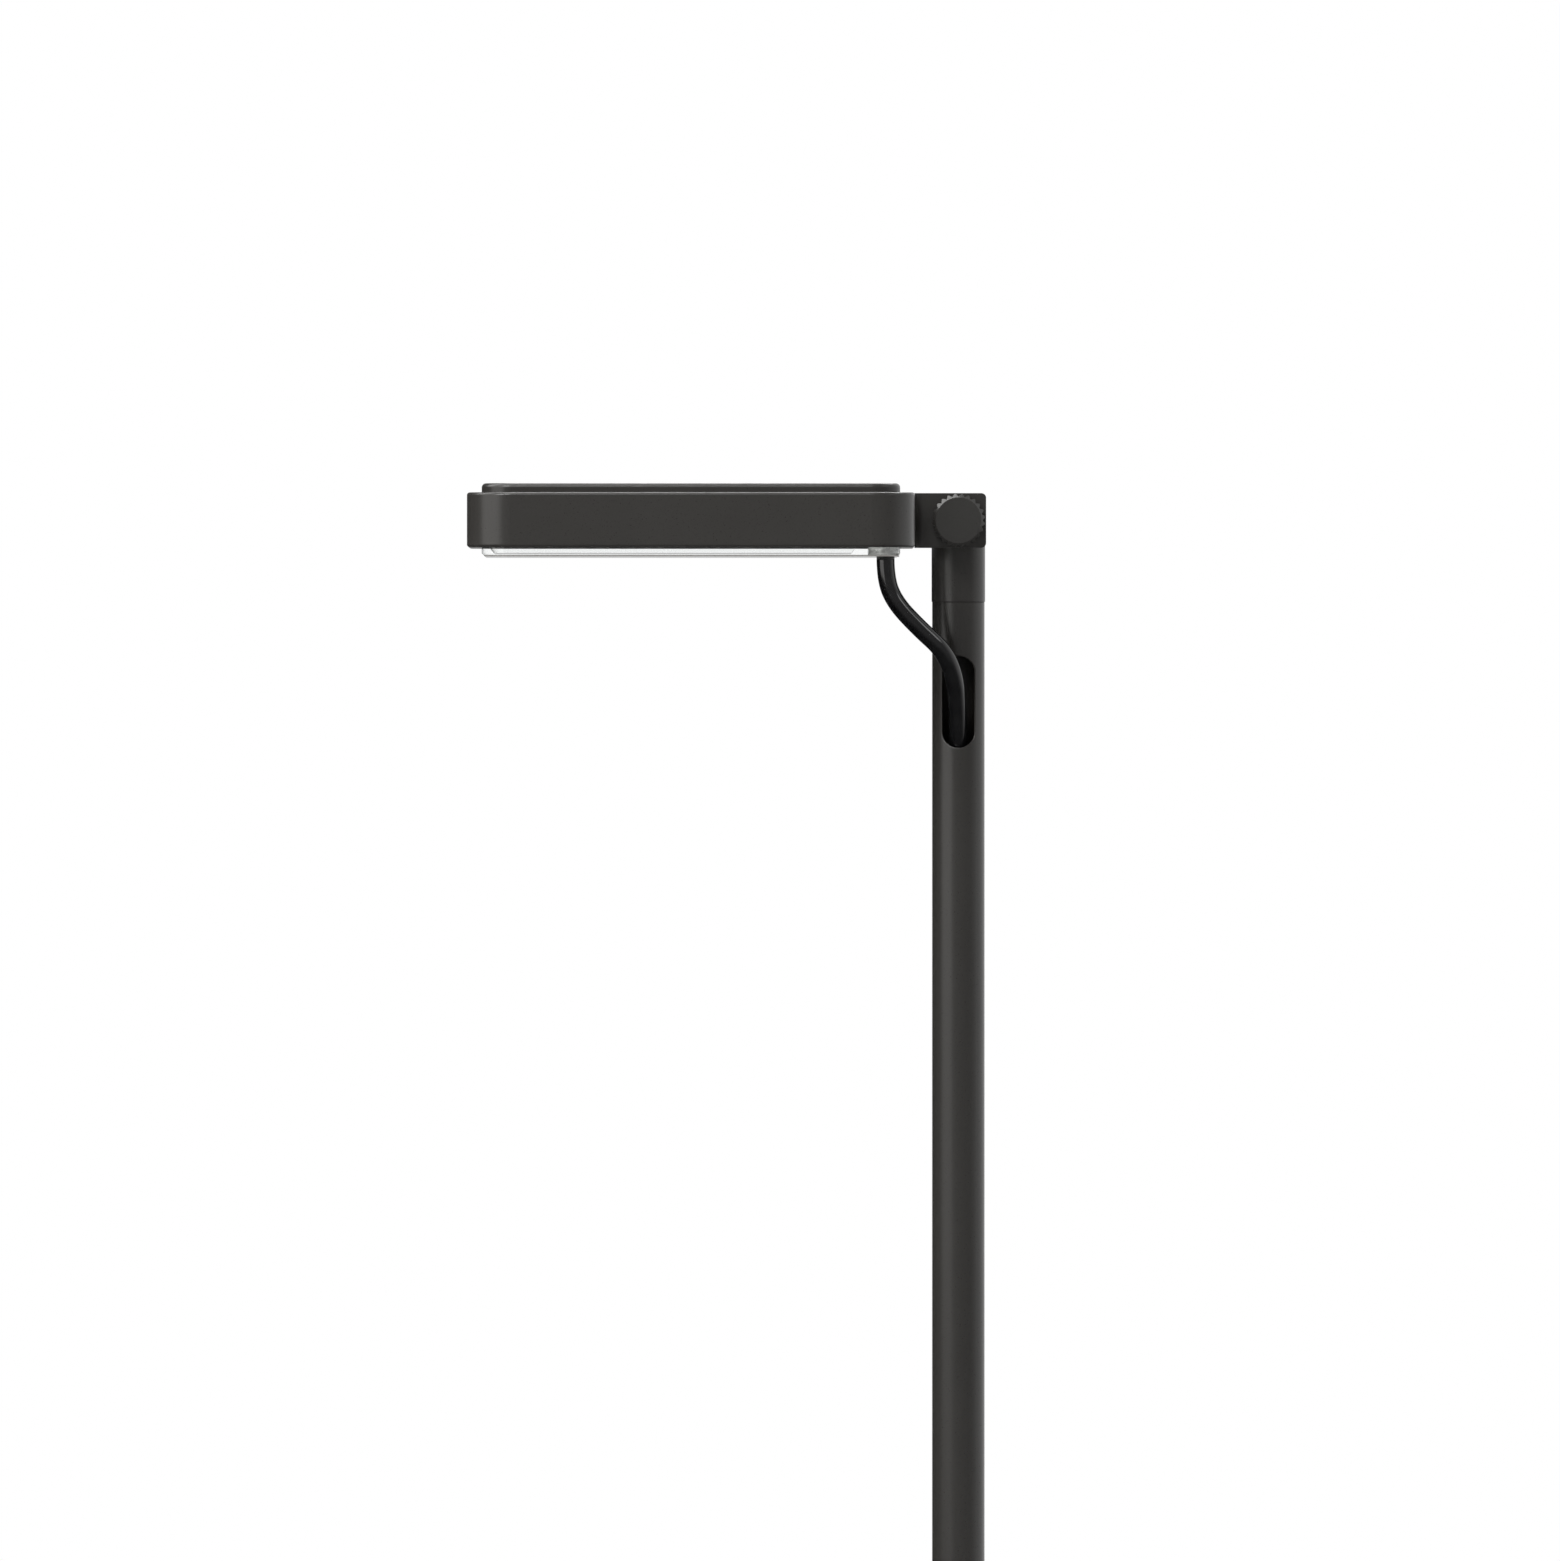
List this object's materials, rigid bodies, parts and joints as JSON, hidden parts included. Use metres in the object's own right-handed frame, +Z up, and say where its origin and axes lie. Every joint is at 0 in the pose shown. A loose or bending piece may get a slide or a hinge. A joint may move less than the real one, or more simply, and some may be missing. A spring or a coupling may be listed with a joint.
{
  "type": "path light",
  "caption": "Path light: a flat square lamp head tilts on a fork hinge clamped by a knurled knob, on a slim round post with a bolted foot; a lead loops from head to post.",
  "frame": {"origin": "centre of the foot's underside, on the post's axis", "axes": "+Z up along the post, -X from the post towards the lamp head, -Y to the side with the knob, the cable slot and the lead"},
  "size_m": [0.256, 0.1876, 0.6177],
  "materials": {
    "powder_coat": "fine-textured dark warm grey powder coat",
    "knob_plastic": "matt dark grey moulded knob",
    "brass": "turned brass insert",
    "stainless": "plain stainless fasteners",
    "silicone_seal": "soft black silicone",
    "clear_lens": "clear polished acrylic",
    "board_core": "white solder mask on aluminium",
    "led_phosphor": "yellow phosphor",
    "reflector_white": "glossy white moulding",
    "tray_plastic": "light grey moulding",
    "driver_case": "black potted case",
    "terminal_plastic": "white nylon",
    "gland_rubber": "pale translucent silicone",
    "lead_jacket": "glossy black rubber sheath",
    "core_insulation": "coloured core insulation",
    "bush_polymer": "dark bearing polymer",
    "connector_plastic": "black nylon"
  },
  "bodies": {
    "post": {"base_flange": "powder_coat", "base_grub_screws": "stainless", "post_tube": "powder_coat", "post_knuckle": "powder_coat", "knuckle_grub_screws": "stainless", "hinge_bushes": "bush_polymer", "base_socket": "connector_plastic", "lead_plug": "connector_plastic", "lead_in_post": "lead_jacket", "lamp_lead": "lead_jacket"},
    "head": {"hinge_arm": "powder_coat", "head_frame": "powder_coat", "top_cover": "powder_coat", "arm_screws": "stainless", "cover_screws": "stainless", "optic_screws": "stainless", "tray_screws": "stainless", "gland_clamp_screws": "stainless", "gland_clamp": "stainless", "pivot_bolt": "stainless", "cover_gasket": "silicone_seal", "lens_gasket": "silicone_seal", "lens": "clear_lens", "led_board": "board_core", "led_chips": "led_phosphor", "reflector": "reflector_white", "gear_tray": "tray_plastic", "driver": "driver_case", "terminal_block": "terminal_plastic", "cable_gland": "gland_rubber", "lead_in_head": "lead_jacket", "lead_cores": "core_insulation"},
    "clamp_washer": {"thrust_washer": "stainless"},
    "clamp_knob": {"clamp_knob": "knob_plastic", "knob_insert": "brass"}
  },
  "joints": [
    {"name": "head_tilt", "type": "hinge", "parent": "post", "child": "head", "pos_m": [0, 0, 0.6024], "axis": [0, 1, 0], "range_deg": [-15, 60], "deforming": ["lamp_lead"]},
    {"name": "knob_travel", "type": "slide", "parent": "head", "child": "clamp_washer", "axis": [0, -1, 0], "range_m": [0, 0.0025]},
    {"name": "knob_turn", "type": "hinge", "parent": "clamp_washer", "child": "clamp_knob", "pos_m": [0, 0, 0.6024], "axis": [0, -1, 0], "range_deg": [0, 720]}
  ],
  "couplings": [
    {"joint": "knob_turn", "follows": "knob_travel", "rad_per_m": 5026.5}
  ]
}
